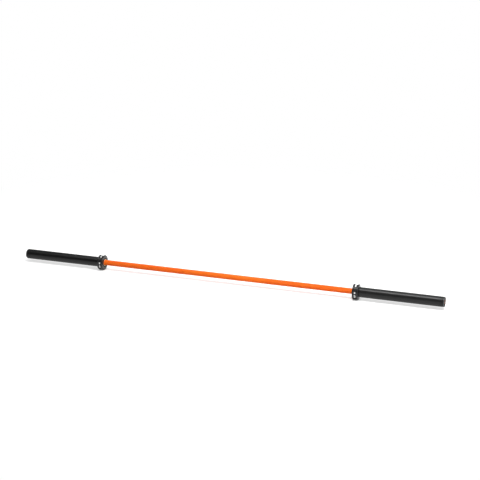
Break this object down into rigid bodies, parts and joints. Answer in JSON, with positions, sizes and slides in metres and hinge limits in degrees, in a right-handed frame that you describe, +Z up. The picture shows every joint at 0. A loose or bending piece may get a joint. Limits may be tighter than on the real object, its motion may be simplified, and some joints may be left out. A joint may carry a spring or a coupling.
{
  "type": "olympic barbell",
  "caption": "Straight weightlifting bar: a long knurled grip shaft with a collared sleeve for plates on each end, turning freely on bearings inside.",
  "frame": {"origin": "middle of the bar, on its axis", "axes": "+X along the bar towards the right sleeve's outer end, +Z up with the bar lying level"},
  "size_m": [2.2, 0.0758, 0.0758],
  "materials": {
    "orange_coat": "satin",
    "black_coat": "satin",
    "black_gloss": "gloss",
    "bronze": "satin",
    "steel": "polished",
    "cage_steel": "satin",
    "spring_steel": "satin",
    "cap_black": "satin",
    "rubber": "matte"
  },
  "bodies": {
    "shaft": {"shaft": "orange_coat", "left_inner_thrust_washer": "steel", "left_outer_thrust_washer": "steel", "left_shaft_retaining_ring": "spring_steel", "right_inner_thrust_washer": "steel", "right_outer_thrust_washer": "steel", "right_shaft_retaining_ring": "spring_steel"},
    "left_sleeve": {"left_sleeve": "black_coat", "left_collar": "black_gloss", "left_inner_bushing": "bronze", "left_seal_ring": "rubber", "left_inner_needle_cup": "steel", "left_outer_needle_cup": "steel", "left_outer_bushing": "bronze", "left_end_cap": "cap_black", "left_end_cap_retaining_ring": "spring_steel"},
    "left_inner_cage": {"left_inner_needle_cage": "cage_steel"},
    "left_outer_cage": {"left_outer_needle_cage": "cage_steel"},
    "right_sleeve": {"right_sleeve": "black_coat", "right_collar": "black_gloss", "right_inner_bushing": "bronze", "right_seal_ring": "rubber", "right_inner_needle_cup": "steel", "right_outer_needle_cup": "steel", "right_outer_bushing": "bronze", "right_end_cap": "cap_black", "right_end_cap_retaining_ring": "spring_steel"},
    "right_inner_cage": {"right_inner_needle_cage": "cage_steel"},
    "right_outer_cage": {"right_outer_needle_cage": "cage_steel"}
  },
  "joints": [
    {"name": "left_sleeve_spin", "type": "hinge", "parent": "shaft", "child": "left_sleeve", "pos_m": [-0.8775, 0, 0], "axis": [1, 0, 0], "continuous": true},
    {"name": "left_inner_cage_roll", "type": "hinge", "parent": "shaft", "child": "left_inner_cage", "pos_m": [-0.6965, 0, 0], "axis": [1, 0, 0], "continuous": true},
    {"name": "left_outer_cage_roll", "type": "hinge", "parent": "shaft", "child": "left_outer_cage", "pos_m": [-1.0438, 0, 0], "axis": [1, 0, 0], "continuous": true},
    {"name": "right_sleeve_spin", "type": "hinge", "parent": "shaft", "child": "right_sleeve", "pos_m": [0.8775, 0, 0], "axis": [1, 0, 0], "continuous": true},
    {"name": "right_inner_cage_roll", "type": "hinge", "parent": "shaft", "child": "right_inner_cage", "pos_m": [0.6965, 0, 0], "axis": [1, 0, 0], "continuous": true},
    {"name": "right_outer_cage_roll", "type": "hinge", "parent": "shaft", "child": "right_outer_cage", "pos_m": [1.0438, 0, 0], "axis": [1, 0, 0], "continuous": true}
  ],
  "couplings": [
    {"joint": "left_inner_cage_roll", "follows": "left_sleeve_spin", "ratio": 0.5487},
    {"joint": "left_outer_cage_roll", "follows": "left_sleeve_spin", "ratio": 0.5487},
    {"joint": "right_inner_cage_roll", "follows": "right_sleeve_spin", "ratio": 0.5487},
    {"joint": "right_outer_cage_roll", "follows": "right_sleeve_spin", "ratio": 0.5487}
  ]
}
